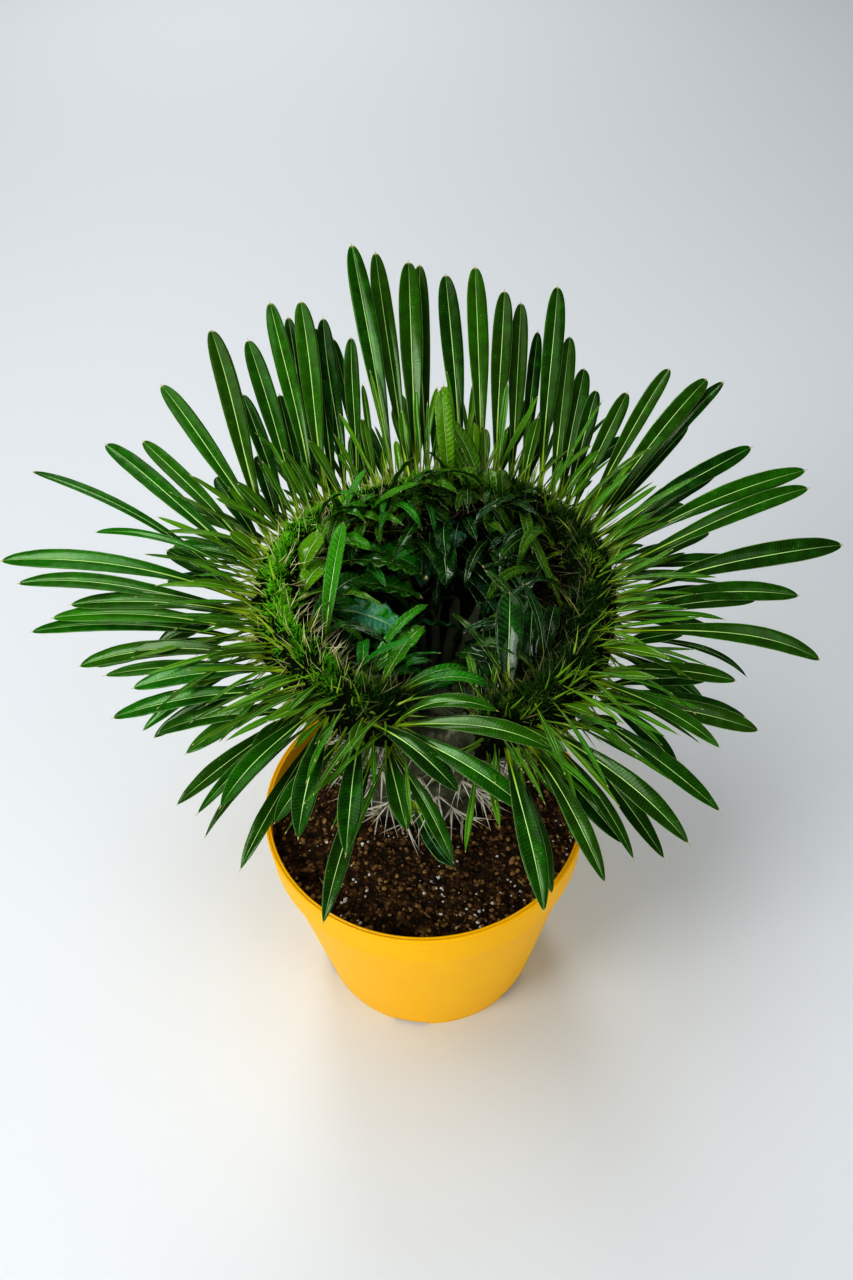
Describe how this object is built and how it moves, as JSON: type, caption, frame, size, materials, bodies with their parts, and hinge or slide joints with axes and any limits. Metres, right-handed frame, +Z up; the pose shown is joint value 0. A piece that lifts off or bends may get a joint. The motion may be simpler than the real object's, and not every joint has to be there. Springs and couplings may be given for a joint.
{
  "type": "crested madagascar palm in a pot",
  "caption": "Succulent with a fan-shaped crest curled to a horseshoe, strap leaves and spines, in a tapered plastic pot filled with soil.",
  "frame": {"origin": "centre of the pot's base, in the plane of its foot ring, on the surface that it stands on; the mount underside is 3 mm straight above it", "axes": "+Z up; +Y towards the back of the plant, where the leaves stand highest; the crest opens towards -Y"},
  "size_m": [0.5047, 0.3814, 0.4056],
  "materials": {
    "pot": "satin",
    "soil": "matte",
    "stem": "matte",
    "growing_edge": "satin",
    "outer_leaves": "satin",
    "inner_leaves": "satin"
  },
  "bodies": {
    "root": {"pot": "pot", "soil": "soil", "stem": "stem", "growing_edge": "growing_edge", "outer_leaves": "outer_leaves", "inner_leaves": "inner_leaves"}
  },
  "joints": []
}
